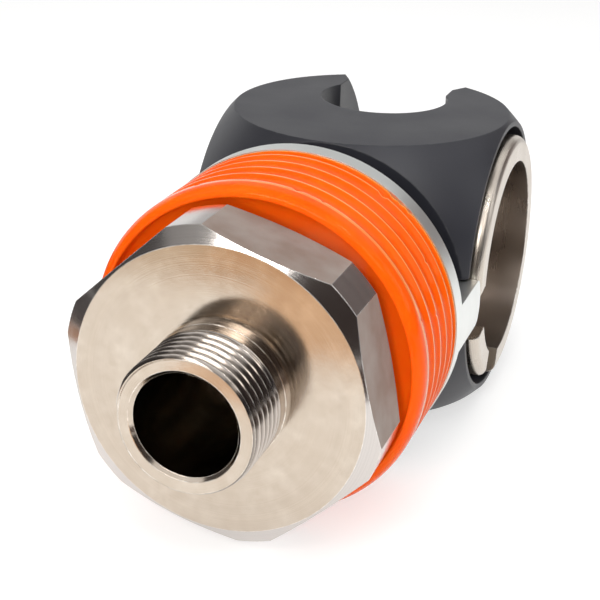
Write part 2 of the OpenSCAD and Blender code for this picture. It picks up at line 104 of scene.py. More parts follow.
# The wrench flats lie this far from the axis; the margins tell flats, turned corners and inner faces apart
HEX_FLAT = 29.0 * MM
INSIDE_FLAT = 0.5 * MM
OUTSIDE_FLAT = 0.4 * MM
CHAMFER_START = HEX_FLAT - 1.5 * MM
FACING_ALONG_AXIS = 0.2

# The grip ring: its ribs, its rounded nose and the cup inside it
RING_LOW, RING_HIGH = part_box("grip_ring")
RING_RADIUS = RING_HIGH[0]
FIRST_CREST = 3.95 * MM
CREST_PITCH = 4.42 * MM
CREST_COUNT = 5
HOLLOW_DEPTH = 0.72 * MM
CREST_HALF = 0.26 * MM
RIB_STEPS = 16
CUP_RADIUS = 31.78 * MM
CUP_FLOOR = 2.6 * MM
CUP_FILLET = 0.25 * MM
LIP_RADIUS = 24.4 * MM
LIP_FILLET = 0.2 * MM
LIP_BACK = 4.65 * MM
RING_BORE = 30.9 * MM
MOUTH_ROUND = 0.35 * MM
MOUTH_STEP_OUT = 0.12 * MM
MOUTH_STEP_BACK = 0.1 * MM
NOSE_LENGTH = 3.1 * MM
NOSE_STEPS = 12
RING_COLUMNS = 360
RING_SMOOTH_ANGLE = 50
# Nicks in the ring as (turn in degrees from +Z towards +X, mm behind its front, size in mm, depth in mm)
RING_NICKS = (
    (33, 21.6, 1.1, 0.45), (36, 24.3, 1.3, 0.4), (39, 24.4, 1.0, 0.35), (43, 24.2, 0.8, 0.3),
    (12, 4.0, 0.8, 0.25), (21, 4.1, 0.6, 0.22), (58, 17.2, 0.7, 0.25), (70, 3.8, 0.7, 0.25),
    (74, 12.8, 0.6, 0.2), (-22, 4.0, 0.6, 0.2), (150, 8.4, 0.9, 0.3), (205, 17.2, 0.9, 0.3),
    (262, 12.8, 0.8, 0.25), (310, 21.6, 0.7, 0.25),
)

# The return spring
SPRING_WIRE = 1.6 * MM
SPRING_TURNS = 3
WIRE_SIDES = 20
SPRING_STEPS = 72
SPRING_SMOOTH_ANGLE = 60

# Sizes of what shows in the materials, in metres, and the range that nearly all of a noise texture keeps to
NOISE_RANGE = (0.3, 0.7)
# Painted shade: the barrel's bore is darkened in its colour within the first radius, fading out at the second
BARREL_BORE_PAINTED_SHADE = (22.32 * MM, 22.5 * MM, (0.40, 0.345, 0.30))
# Painted shade: the thread's valleys are darkened in their colour below the first radius, fading out at the
# second
THREAD_VALLEY_PAINTED_SHADE = (12.95 * MM, 13.42 * MM, (0.22, 0.19, 0.165))
BUMP_DISTANCE = 0.03 * MM
TURNED_BUMP_DISTANCE = 0.04 * MM
STAIN_COLOUR = (0.78, 0.72, 0.64)


def new_tree(name):
    """A new material and its emptied node tree."""
    material = bpy.data.materials.new(name)
    material.use_nodes = True
    tree = material.node_tree
    tree.nodes.clear()
    return material, tree


def add(tree, kind, inputs=None, **settings):
    """A node with settings and inputs; an input may be a value or another node's output."""
    node = tree.nodes.new(kind)
    for key, value in settings.items():
        setattr(node, key, value)
    for key, value in (inputs or {}).items():
        if isinstance(value, bpy.types.NodeSocket):
            tree.links.new(value, node.inputs[key])
        else:
            node.inputs[key].default_value = value
    return node


def math_node(tree, operation, a, b=0.0):
    """The output of one sum."""
    return add(tree, "ShaderNodeMath", {0: a, 1: b}, operation=operation).outputs[0]


def mapped(tree, value, low, high, to_low, to_high):
    """A value moved from one range to another, clamped."""
    inputs = {"Value": value, "From Min": low, "From Max": high, "To Min": to_low, "To Max": to_high}
    return add(tree, "ShaderNodeMapRange", inputs).outputs[0]


def mixed(tree, factor, a, b):
    """Two colours mixed by a mask."""
    node = add(tree, "ShaderNodeMix", data_type="RGBA")
    for socket, value in (("Factor_Float", factor), ("A_Color", a), ("B_Color", b)):
        slot = next(s for s in node.inputs if s.identifier == socket)
        if isinstance(value, bpy.types.NodeSocket):
            tree.links.new(value, slot)
        else:
            slot.default_value = value if socket == "Factor_Float" else (*value[:3], 1)
    return next(s for s in node.outputs if s.identifier == "Result_Color")


def effect_group(name, inputs, outputs):
    """An empty shader node group with named inputs and outputs; an input is (name, kind, default)."""
    group = bpy.data.node_groups.new(name, "ShaderNodeTree")
    for socket, kind, default in inputs:
        made = group.interface.new_socket(socket, in_out="INPUT", socket_type="NodeSocket" + kind)
        made.default_value = default
    for socket, kind in outputs:
        group.interface.new_socket(socket, in_out="OUTPUT", socket_type="NodeSocket" + kind)
    return group, add(group, "NodeGroupInput"), add(group, "NodeGroupOutput")


def turning_marks_group():
    """Fine rings that a lathe leaves about an axis, slower bands of shade, and the distance from the axis."""
    group, given, out = effect_group(
        "turning_marks",
        [("Axis", "Vector", (0, 1, 0)), ("Centre", "Vector", (0, 0, 0)), ("Spacing", "Float", 0.00025),
         ("Streaks", "Float", 0.5)],
        [("Height", "Float"), ("Shade", "Float"), ("Radius", "Float")])
    place = add(group, "ShaderNodeTexCoord").outputs["Object"]
    arm = add(group, "ShaderNodeVectorMath", {0: place, 1: given.outputs["Centre"]}, operation="SUBTRACT")
    arm = arm.outputs[0]
    along = add(group, "ShaderNodeVectorMath", {0: arm, 1: given.outputs["Axis"]}, operation="DOT_PRODUCT")
    along = along.outputs["Value"]
    shadow = add(group, "ShaderNodeVectorMath", {0: given.outputs["Axis"]}, operation="SCALE")
    group.links.new(along, shadow.inputs["Scale"])
    flat = add(group, "ShaderNodeVectorMath", {0: arm, 1: shadow.outputs[0]}, operation="SUBTRACT").outputs[0]
    radius = add(group, "ShaderNodeVectorMath", {0: flat}, operation="LENGTH").outputs["Value"]
    group.links.new(radius, out.inputs["Radius"])
    rate = math_node(group, "DIVIDE", 1.0, given.outputs["Spacing"])
    ring = add(group, "ShaderNodeCombineXYZ", {0: math_node(group, "MULTIPLY", radius, rate),
                                               1: math_node(group, "MULTIPLY", along, rate)}).outputs[0]
    fine = add(group, "ShaderNodeTexNoise", {"Vector": ring, "Scale": 1.0, "Detail": 3.0, "Roughness": 0.6})
    slow = add(group, "ShaderNodeTexNoise", {"Vector": ring, "Scale": 0.11, "Detail": 2.0, "Roughness": 0.5})
    scratch_place = add(group, "ShaderNodeVectorMath", {0: flat, "Scale": 900.0}, operation="SCALE")
    scratch_inputs = {"Vector": scratch_place.outputs[0], "Scale": 0.6, "Detail": 2.0}
    scratch = add(group, "ShaderNodeTexNoise", scratch_inputs)
    wander = mapped(group, scratch.outputs[0], 0.35, 0.65, 0.4, 1.0)
    height = math_node(group, "MULTIPLY", fine.outputs[0], wander)
    group.links.new(height, out.inputs["Height"])
    bands = mapped(group, slow.outputs[0], *NOISE_RANGE, -0.5, 0.5)
    rings = mapped(group, fine.outputs[0], *NOISE_RANGE, -0.5, 0.5)
    streaks = math_node(group, "MULTIPLY", bands, given.outputs["Streaks"])
    group.links.new(math_node(group, "ADD", streaks, rings), out.inputs["Shade"])
    return group


def grain_group():
    """An even fine grain, as blasting, anodising or moulding leaves it, with slow clouds."""
    group, given, out = effect_group(
        "fine_grain", [("Size", "Float", 0.0004), ("Clouds", "Float", 0.01)],
        [("Height", "Float"), ("Clouds", "Float")])
    place = add(group, "ShaderNodeTexCoord").outputs["Object"]
    for size, output, detail in (("Size", "Height", 3.0), ("Clouds", "Clouds", 2.0)):
        rate = math_node(group, "DIVIDE", 1.0, given.outputs[size])
        noise = add(group, "ShaderNodeTexNoise", {"Vector": place, "Scale": rate, "Detail": detail})
        group.links.new(mapped(group, noise.outputs[0], *NOISE_RANGE, 0.0, 1.0), out.inputs[output])
    return group


def edge_group():
    """A normal rounded over the edges, and a mask of those edges broken up by noise."""
    group, given, out = effect_group(
        "worn_edges", [("Radius", "Float", 0.0003), ("Patch Size", "Float", 0.002), ("Amount", "Float", 0.5)],
        [("Normal", "Vector"), ("Edge", "Float")])
    bevel = add(group, "ShaderNodeBevel", {"Radius": given.outputs["Radius"]}, samples=4)
    straight = add(group, "ShaderNodeNewGeometry").outputs["Normal"]
    match = add(group, "ShaderNodeVectorMath", {0: bevel.outputs[0], 1: straight}, operation="DOT_PRODUCT")
    turned = mapped(group, match.outputs["Value"], 0.999, 0.93, 0.0, 1.0)
    place = add(group, "ShaderNodeTexCoord").outputs["Object"]
    rate = math_node(group, "DIVIDE", 1.0, given.outputs["Patch Size"])
    noise = add(group, "ShaderNodeTexNoise", {"Vector": place, "Scale": rate, "Detail": 3.0})
    floor = math_node(group, "SUBTRACT", 1.0, given.outputs["Amount"])
    broken = add(group, "ShaderNodeMapRange", {"Value": noise.outputs[0]})
    group.links.new(math_node(group, "MULTIPLY", floor, 0.8), broken.inputs["From Min"])
    group.links.new(math_node(group, "ADD", floor, 0.15), broken.inputs["From Max"])
    group.links.new(math_node(group, "MULTIPLY", turned, broken.outputs[0]), out.inputs["Edge"])
    group.links.new(bevel.outputs[0], out.inputs["Normal"])
    return group


def nick_group():
    """Small scattered chips, as a mask."""
    group, given, out = effect_group(
        "nicks", [("Spread", "Float", 0.006), ("Size", "Float", 0.09)], [("Mask", "Float")])
    place = add(group, "ShaderNodeTexCoord").outputs["Object"]
    bend = add(group, "ShaderNodeTexNoise", {"Vector": place, "Scale": 1400.0, "Detail": 2.0})
    rate = math_node(group, "DIVIDE", 1.0, given.outputs["Spread"])
    cells = add(group, "ShaderNodeTexVoronoi", {"Vector": place, "Scale": rate})
    bent = math_node(group, "MULTIPLY", bend.outputs[0], 0.12)
    ragged = math_node(group, "ADD", cells.outputs["Distance"], bent)
    edge = math_node(group, "ADD", given.outputs["Size"], 0.02)
    mask = add(group, "ShaderNodeMapRange", {"Value": ragged, "To Min": 1.0, "To Max": 0.0})
    group.links.new(given.outputs["Size"], mask.inputs["From Min"])
    group.links.new(edge, mask.inputs["From Max"])
    group.links.new(mask.outputs[0], out.inputs["Mask"])
    return group


GROUPS = {
    "turning": turning_marks_group(),
    "grain": grain_group(),
    "edges": edge_group(),
    "nicks": nick_group(),
}


def effect(tree, name, inputs):
    """One of the shared effects in a material."""
    node = tree.nodes.new("ShaderNodeGroup")
    node.node_tree = GROUPS[name]
    for key, value in inputs.items():
        node.inputs[key].default_value = value
    return node.outputs


def finish_surface(material, tree, shader_inputs, normal, height, strength, distance):
    """Puts the Principled shader, its bump and the output into a material."""
    relief = {"Height": height, "Normal": normal, "Strength": strength, "Distance": distance}
    bump = add(tree, "ShaderNodeBump", relief)
    shader = add(tree, "ShaderNodeBsdfPrincipled", {**shader_inputs, "Normal": bump.outputs[0]})
    add(tree, "ShaderNodeOutputMaterial", {"Surface": shader.outputs[0]})
    return material


def turned_metal(name, axis, base, dark, edge_colour, roughness, spacing=0.00025, streaks=0.6, bump=0.25,
                 edge_radius=0.0003, anisotropy=0.0, mottle=0.0, painted_shade=None):
    """Metal turned on a lathe about an axis, with fine rings, soft bands and bright worn edges.

    The inside shade, where given, is (radius, radius, colour): painted shade, whose colour fills what lies
    within the first radius and fades out at the second.
    """
    material, tree = new_tree(name)
    direction, centre = axis
    lathe = {"Axis": direction, "Centre": centre, "Spacing": spacing, "Streaks": streaks}
    marks = effect(tree, "turning", lathe)
    edges = effect(tree, "edges", {"Radius": edge_radius, "Patch Size": 0.0015, "Amount": 0.55})
    haze = effect(tree, "grain", {"Size": 0.0005, "Clouds": 0.012})
    shade = mapped(tree, marks["Shade"], -0.8, 0.8, 0.0, 1.0)
    body = mixed(tree, shade, dark, base)
    if mottle:
        stains = effect(tree, "grain", {"Size": 0.0032, "Clouds": 0.0075})
        stained = math_node(tree, "MULTIPLY", stains["Height"], stains["Clouds"])
        body = mixed(tree, math_node(tree, "MULTIPLY", stained, mottle), body, STAIN_COLOUR)
    # Painted shade: the colour darkens towards the axis, in bores and thread valleys
    if painted_shade:
        shaded_to, shaded_from, shade_colour = painted_shade
        deep = mapped(tree, marks["Radius"], shaded_to, shaded_from, 1.0, 0.0)
        body = mixed(tree, deep, body, shade_colour)
    colour = mixed(tree, edges["Edge"], body, edge_colour)
    hazed = mapped(tree, haze["Clouds"], 0.0, 1.0, roughness * 0.8, roughness * 1.2)
    rough = math_node(tree, "ADD", hazed, mapped(tree, shade, 0.0, 1.0, -0.03, 0.03))
    inputs = {"Base Color": colour, "Metallic": 1.0, "Roughness": rough}
    if anisotropy:
        inputs["Anisotropic"] = anisotropy
        axis_name = "Y" if axis is INLET_AXIS else "X"
        inputs["Tangent"] = add(tree, "ShaderNodeTangent", direction_type="RADIAL", axis=axis_name).outputs[0]
    height = marks["Height"]
    return finish_surface(material, tree, inputs, edges["Normal"], height, bump, TURNED_BUMP_DISTANCE)


def black_anodised():
    """Satin black anodised aluminium, a little paler where edges are rubbed."""
    material, tree = new_tree("black_anodised")
    grain = effect(tree, "grain", {"Size": 0.00022, "Clouds": 0.014})
    edges = effect(tree, "edges", {"Radius": 0.00045, "Patch Size": 0.002, "Amount": 0.5})
    body = mixed(tree, grain["Clouds"], (0.013, 0.0135, 0.019), (0.018, 0.0185, 0.025))
    colour = mixed(tree, math_node(tree, "MULTIPLY", edges["Edge"], 0.35), body, (0.11, 0.11, 0.115))
    rough = math_node(tree, "ADD", mapped(tree, grain["Clouds"], 0.0, 1.0, 0.38, 0.46),
                      mapped(tree, grain["Height"], 0.0, 1.0, -0.03, 0.03))
    inputs = {"Base Color": colour, "Roughness": rough, "IOR": 1.52}
    return finish_surface(material, tree, inputs, edges["Normal"], grain["Height"], 0.22, BUMP_DISTANCE)


def orange_plastic(name, low, high, chip_colour, chip_size):
    """Glossy orange, a little translucent, with pale chips on its edges."""
    material, tree = new_tree(name)
    grain = effect(tree, "grain", {"Size": 0.0016, "Clouds": 0.011})
    edges = effect(tree, "edges", {"Radius": 0.0001, "Patch Size": 0.0011, "Amount": 0.62})
    chips = effect(tree, "nicks", {"Spread": 0.0075, "Size": chip_size})
    body = mixed(tree, grain["Clouds"], low, high)
    colour = mixed(tree, chips["Mask"], body, chip_colour)
    rough = mapped(tree, grain["Clouds"], 0.0, 1.0, 0.05, 0.09)
    inputs = {"Base Color": colour, "Roughness": rough, "Specular IOR Level": 0.22,
              "Specular Tint": (1.0, 0.60, 0.32, 1.0), "Subsurface Weight": 0.4,
              "Subsurface Radius": (1.0, 0.25, 0.08), "Subsurface Scale": 0.004}
    return finish_surface(material, tree, inputs, edges["Normal"], grain["Height"], 0.05, 0.00008)


def blasted_aluminium():
    """Satin aluminium of the lock sleeve."""
    material, tree = new_tree("blasted_aluminium")
    grain = effect(tree, "grain", {"Size": 0.00025, "Clouds": 0.009})
    marks = effect(tree, "turning", {"Axis": INLET_AXIS[0], "Centre": INLET_AXIS[1], "Spacing": 0.0004,
                                     "Streaks": 0.5})
    edges = effect(tree, "edges", {"Radius": 0.0001, "Patch Size": 0.0014, "Amount": 0.5})
    body = mixed(tree, grain["Clouds"], (0.70, 0.72, 0.70), (0.78, 0.80, 0.78))
    streaked = mixed(tree, mapped(tree, marks["Shade"], -0.8, 0.8, 0.0, 0.4), body, (0.86, 0.87, 0.85))
    colour = mixed(tree, edges["Edge"], streaked, (0.84, 0.84, 0.82))
    rough = mapped(tree, grain["Height"], 0.0, 1.0, 0.30, 0.40)
    inputs = {"Base Color": colour, "Metallic": 1.0, "Roughness": rough}
    height = math_node(tree, "ADD", grain["Height"], marks["Height"])
    return finish_surface(material, tree, inputs, edges["Normal"], height, 0.2, BUMP_DISTANCE)


def plain_grained(name, low, high, roughness, metallic=0.0, size=0.0004, bump=0.25):
    """Rubber, plastic, bronze, wire or milled steel: two shades in clouds, a grain, and rounded edges."""
    material, tree = new_tree(name)
    grain = effect(tree, "grain", {"Size": size, "Clouds": 0.006})
    edges = effect(tree, "edges", {"Radius": 0.0002, "Patch Size": 0.001, "Amount": 0.4})
    colour = mixed(tree, grain["Clouds"], low, high)
    rough = mapped(tree, grain["Height"], 0.0, 1.0, roughness - 0.06, roughness + 0.06)
    inputs = {"Base Color": colour, "Roughness": rough, "Metallic": metallic}
    return finish_surface(material, tree, inputs, edges["Normal"], grain["Height"], bump, BUMP_DISTANCE)


MATERIALS = {
    "turned_steel": turned_metal(
        "turned_steel", INLET_AXIS, base=(0.57, 0.49, 0.405), dark=(0.49, 0.41, 0.335),
        edge_colour=(0.93, 0.88, 0.82), roughness=0.14, anisotropy=0.3, bump=0.18, mottle=0.4),
    "barrel_steel": turned_metal(
        "barrel_steel", SWING_AXIS, base=(0.62, 0.56, 0.49), dark=(0.57, 0.51, 0.44),
        edge_colour=(0.93, 0.90, 0.86), roughness=0.29, spacing=0.0003, streaks=0.3, bump=0.05,
        painted_shade=BARREL_BORE_PAINTED_SHADE),
    "inner_steel": turned_metal(
        "inner_steel", INLET_AXIS, base=(0.62, 0.61, 0.59), dark=(0.50, 0.49, 0.47),
        edge_colour=(0.85, 0.84, 0.82), roughness=0.28),
    "black_body": black_anodised(),
    "orange_ring": orange_plastic(
        "orange_ring", low=(0.96, 0.098, 0.003), high=(1.0, 0.122, 0.004), chip_colour=(1.0, 0.22, 0.05),
        chip_size=0.02),
    "sleeve_metal": blasted_aluminium(),
    "spring_steel": plain_grained("spring_steel", (0.42, 0.42, 0.43), (0.52, 0.52, 0.53), 0.30, metallic=1.0),
    "clip_steel": plain_grained("clip_steel", (0.16, 0.16, 0.17), (0.22, 0.22, 0.23), 0.38, metallic=1.0),
    "white_seal": plain_grained("white_seal", (0.78, 0.78, 0.74), (0.84, 0.84, 0.80), 0.45),
    "black_seal": plain_grained("black_seal", (0.018, 0.018, 0.019), (0.03, 0.03, 0.031), 0.55),
    "bush_bronze": plain_grained("bush_bronze", (0.42, 0.28, 0.13), (0.52, 0.36, 0.18), 0.42, metallic=1.0),
    "band_plastic": plain_grained("band_plastic", (0.26, 0.16, 0.08), (0.34, 0.21, 0.11), 0.5),
}


# The adapter's other finishes: cut thread, milled wrench flats and turned corners
ADAPTER_FINISHES = [
    turned_metal(
        "thread_steel", INLET_AXIS, base=(0.60, 0.545, 0.50), dark=(0.44, 0.395, 0.355),
        edge_colour=(0.95, 0.93, 0.90), roughness=0.16, spacing=0.00012, bump=0.15, edge_radius=0.00012,
        painted_shade=THREAD_VALLEY_PAINTED_SHADE),
    plain_grained(
        "milled_flat", low=(0.36, 0.285, 0.245), high=(0.44, 0.385, 0.35), roughness=0.75, metallic=0.7,
        size=0.00018, bump=0.5),
    turned_metal(
        "turned_corner", INLET_AXIS, base=(0.62, 0.585, 0.56), dark=(0.54, 0.505, 0.48),
        edge_colour=(0.95, 0.93, 0.90), roughness=0.15, spacing=0.0002, bump=0.15),
]
TURNED_FACE, THREAD, FLAT, CORNER = range(4)

# The grip ring's crests, paler than its hollows: partly rubbed wear and partly a painted highlight
CREST_WEAR_AND_HIGHLIGHT = orange_plastic(
    "orange_crest_wear_and_highlight", low=(1.0, 0.24, 0.045), high=(1.0, 0.32, 0.08), chip_colour=(1.0, 0.60, 0.34),
    chip_size=0.09)


def dress(piece, slot):
    """Gives a piece the material of one of the record's slots, and no other."""
    piece.data.materials.clear()
    piece.data.materials.append(MATERIALS[slot])


def smooth_by_angle(mesh, degrees):
    """Smooth faces, with edges kept sharp where the faces turn by more than an angle."""
    mesh.polygons.foreach_set("use_smooth", [True] * len(mesh.polygons))
    mesh.set_sharp_from_angle(angle=math.radians(degrees))


def new_piece(name, build, slot, finishes=()):
    """A new mesh object made by a bmesh function, in a slot's material and any other finishes."""
    mesh = bpy.data.meshes.new(name)
    for material in (MATERIALS[slot], *finishes):
        mesh.materials.append(material)
    made = bmesh.new()
    build(made)
    made.to_mesh(mesh)
    made.free()
    piece = bpy.data.objects.new(name, mesh)
    bpy.context.scene.collection.objects.link(piece)
    return piece


def grid_faces(made, rows, finishes=None, closed_rows=False):
    """Joins rings of vertices into bands of faces, each band with its own finish where a list gives one."""
    pairs = list(zip(rows, rows[1:] + rows[:1] if closed_rows else rows[1:]))
    for finish, (low, high) in zip(finishes or [0] * len(pairs), pairs):
        count = len(low)
        for i in range(count):
            j = (i + 1) % count
            made.faces.new((low[i], low[j], high[j], high[i])).material_index = finish


def thread_radius(y, angle):
    """Radius of the stub's surface at a place along the axis and an angle about it."""
    behind_front = y - STUB_FRONT
    chamfer = STUB_RADIUS - THREAD_FRONT_CHAMFER + behind_front
    if y > -COLLAR_LENGTH:
        return min(STUB_RADIUS, chamfer)
    turn = y / THREAD_PITCH - angle / (2 * math.pi)
    depth = THREAD_DEPTH * ((1 - math.cos(2 * math.pi * turn)) / 2) ** CREST_SHARPNESS
    fade = min(1.0, (-COLLAR_LENGTH - y) / THREAD_RUNOUT)
    return min(STUB_RADIUS - depth * fade, chamfer)


def adapter_finish(face):
    """Which finish a face of the adapter has, from where it lies and how it faces."""
    middle = face.calc_center_median()
    normal = face.normal
    if not HAIR < middle.y < RING_LOW[1]:
        return TURNED_FACE
    if abs(normal.y) > FACING_ALONG_AXIS:
        return CORNER if math.hypot(middle.x, middle.z) > CHAMFER_START else TURNED_FACE
    from_axis = abs(normal.x * middle.x + normal.z * middle.z)
    if from_axis < HEX_FLAT - INSIDE_FLAT:
        return TURNED_FACE
    return FLAT if from_axis < HEX_FLAT + OUTSIDE_FLAT else CORNER


def build_adapter(made):
    """The hex adapter's own solid, with its plain stub changed for a threaded one."""
    made.from_mesh(NODES["inlet_adapter"].data)
    outer = STUB_RADIUS - THREAD_FRONT_CHAMFER - STUB_SLACK
    wall = []
    for face in made.faces:
        radii = [math.hypot(v.co.x, v.co.z) for v in face.verts]
        ys = [v.co.y for v in face.verts]
        on_stub = min(radii) > outer and max(radii) < STUB_RADIUS + STUB_SLACK and max(ys) < HAIR
        if on_stub and max(ys) - min(ys) > HAIR:
            wall.append(face)
    bmesh.ops.delete(made, geom=wall, context="FACES")
    for face in made.faces:
        face.material_index = adapter_finish(face)
    rows = []
    count = round(-STUB_FRONT / THREAD_ROW)
    for i in range(count + 1):
        y = STUB_FRONT * (1 - i / count)
        row = []
        for j in range(THREAD_COLUMNS):
            angle = 2 * math.pi * j / THREAD_COLUMNS
            radius = thread_radius(y, angle)
            row.append(made.verts.new((radius * math.cos(angle), y, radius * math.sin(angle))))
        rows.append(row)
    grid_faces(made, rows, [THREAD] * count)
    bmesh.ops.recalc_face_normals(made, faces=made.faces)


def ring_nick(angle, y):
    """How deep the nicks cut the ring's crest at an angle and a place behind its front."""
    depth = 0.0
    for turn, place, size, most in RING_NICKS:
        aside = (math.degrees(angle) - turn + 180) % 360 - 180
        across = math.radians(aside) * RING_RADIUS / (size * MM)
        behind = (y - place * MM) / (size * MM)
        depth = max(depth, most * MM * (1 - across * across - behind * behind))
    return depth


def ring_profile():
    """The grip ring's outline as (radius, place behind its front), from the lip over the nose to the end."""
    length = RING_HIGH[1] - RING_LOW[1]
    nose_height = RING_RADIUS - CUP_RADIUS
    outline = [
        (RING_BORE, LIP_BACK),
        (LIP_RADIUS, LIP_BACK),
        (LIP_RADIUS, CUP_FLOOR + LIP_FILLET),
        (LIP_RADIUS + LIP_FILLET, CUP_FLOOR),
        (CUP_RADIUS - CUP_FILLET, CUP_FLOOR),
        (CUP_RADIUS, CUP_FLOOR - CUP_FILLET),
        (CUP_RADIUS, MOUTH_ROUND),
        (CUP_RADIUS + MOUTH_STEP_OUT, MOUTH_STEP_BACK),
    ]
    for i in range(NOSE_STEPS + 1):
        turn = math.pi / 2 * i / NOSE_STEPS
        radius = CUP_RADIUS + MOUTH_ROUND + (nose_height - MOUTH_ROUND) * math.sin(turn)
        outline.append((radius, NOSE_LENGTH * (1 - math.cos(turn))))
    crests = [FIRST_CREST + CREST_PITCH * k for k in range(CREST_COUNT)] + [length - CREST_HALF]
    for start, end in zip(crests, crests[1:]):
        outline += [(RING_RADIUS, start - CREST_HALF), (RING_RADIUS, start + CREST_HALF)]
        hollow = end - start - 2 * CREST_HALF
        for i in range(1, RIB_STEPS):
            t = i / RIB_STEPS
            radius = RING_RADIUS - HOLLOW_DEPTH * math.sin(math.pi * t)
            outline.append((radius, start + CREST_HALF + hollow * t))
    return outline + [(RING_RADIUS, length - 2 * CREST_HALF), (RING_RADIUS, length), (RING_BORE, length)]


def build_ring(made):
    """The grip ring turned from its outline, with nicks in its crests, which have a paler finish of their
    own, partly wear and partly painted highlight.
    """
    rows = []
    profile = ring_profile()
    for radius, behind in profile:
        row = []
        for j in range(RING_COLUMNS):
            angle = 2 * math.pi * j / RING_COLUMNS
            cut = max(0, ring_nick(angle, behind)) if radius > RING_RADIUS - HOLLOW_DEPTH else 0.0
            reach = radius - cut
            place = (reach * math.sin(angle), RING_LOW[1] + behind, reach * math.cos(angle))
            row.append(made.verts.new(place))
        rows.append(row)
    on_crest = [radius > RING_RADIUS - HAIR for radius, behind in profile]
    finishes = [int(here and after) for here, after in zip(on_crest, on_crest[1:] + on_crest[:1])]
    grid_faces(made, rows, finishes, closed_rows=True)
    bmesh.ops.recalc_face_normals(made, faces=made.faces)


def build_spring(made):
    """The return spring as a round wire on a helix, inside the box of its solid."""
    low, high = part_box("sleeve_spring")
    mean_radius = high[0] - SPRING_WIRE / 2
    first = low[1] + SPRING_WIRE / 2
    rise = high[1] - low[1] - SPRING_WIRE
    rows = []
    last = SPRING_TURNS * SPRING_STEPS
    for i in range(last + 1):
        angle = 2 * math.pi * i / SPRING_STEPS
        y = first + rise * i / last
        row = []
        for j in range(WIRE_SIDES):
            side = 2 * math.pi * j / WIRE_SIDES
            radius = mean_radius + SPRING_WIRE / 2 * math.cos(side)
            along = y + SPRING_WIRE / 2 * math.sin(side)
            row.append(made.verts.new((radius * math.cos(angle), along, radius * math.sin(angle))))
        rows.append(row)
    grid_faces(made, rows)
    made.faces.new(rows[0])
    made.faces.new(list(reversed(rows[-1])))
    bmesh.ops.recalc_face_normals(made, faces=made.faces)


def dress_frame():
    """Every carried-over solid gets the material of its own slot."""
    for part in frame["record"]["subparts"]:
        dress(NODES[part["node"]], part["material_slot"])


def make_adapter():
    """The threaded adapter in place of its plain solid."""
    piece = new_piece("threaded_adapter", build_adapter, "turned_steel", ADAPTER_FINISHES)
    smooth_by_angle(piece.data, ADAPTER_SMOOTH_ANGLE)
    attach(piece, "housing")
    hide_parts("inlet_adapter")


def make_grip_ring():
    """The ribbed ring, finer than its solid and with its nicks."""
    piece = new_piece("ribbed_grip", build_ring, "orange_ring", [CREST_WEAR_AND_HIGHLIGHT])
    smooth_by_angle(piece.data, RING_SMOOTH_ANGLE)
    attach(piece, "sleeve")
    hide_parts("grip_ring")


def make_spring():
    """The smooth spring in place of its solid, built at rest and not made to shorten as the sleeve is pulled.
    """
    piece = new_piece("return_spring", build_spring, "spring_steel")
    smooth_by_angle(piece.data, SPRING_SMOOTH_ANGLE)
    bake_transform(piece)
    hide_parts("sleeve_spring")


